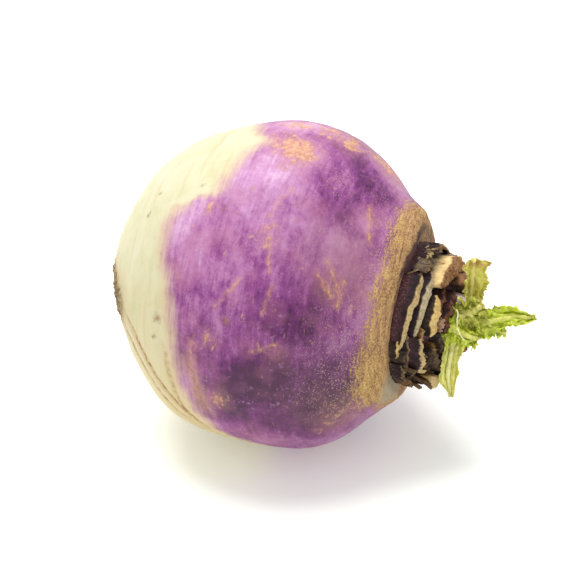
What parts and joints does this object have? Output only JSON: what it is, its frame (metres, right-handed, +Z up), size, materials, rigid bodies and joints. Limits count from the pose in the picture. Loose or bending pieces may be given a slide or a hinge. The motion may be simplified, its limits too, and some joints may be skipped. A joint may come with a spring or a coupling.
{
  "type": "purple-top turnip",
  "caption": "Whole round turnip lying on its side, purple over the shoulder and cream at the root end, with torn leaf bases and young leaves at the crown.",
  "frame": {"origin": "middle of the small flat spot the root rests on, under its widest section", "axes": "+X from the taproot scar to the crown along the root's own axis, +Z up, +Y to the far side"},
  "size_m": [0.1088, 0.0848, 0.084],
  "materials": {
    "skin": "smooth living skin, purple round the crown end and cream round the root end",
    "dry_leaf_base": "dry, torn and fibrous, dark brown to purple",
    "petiole": "pale cut stalk, matt",
    "young_leaf": "soft yellow-green leaf"
  },
  "bodies": {
    "root": {"outer_base_1": "dry_leaf_base", "outer_base_2": "dry_leaf_base", "outer_base_3": "dry_leaf_base", "outer_base_4": "dry_leaf_base", "outer_base_5": "dry_leaf_base", "middle_base_1": "dry_leaf_base", "middle_base_2": "dry_leaf_base", "middle_base_3": "dry_leaf_base", "middle_base_4": "dry_leaf_base", "middle_base_5": "dry_leaf_base", "inner_base_1": "dry_leaf_base", "inner_base_2": "dry_leaf_base", "inner_base_3": "dry_leaf_base", "inner_base_4": "dry_leaf_base", "inner_base_5": "dry_leaf_base", "petiole_stub_1": "petiole", "petiole_stub_2": "petiole", "petiole_stub_3": "petiole", "petiole_stub_4": "petiole", "young_leaf_upright": "young_leaf", "young_leaf_frilled": "young_leaf", "young_leaf_hanging": "young_leaf", "young_leaf_folded": "young_leaf", "root": "skin"}
  },
  "joints": []
}
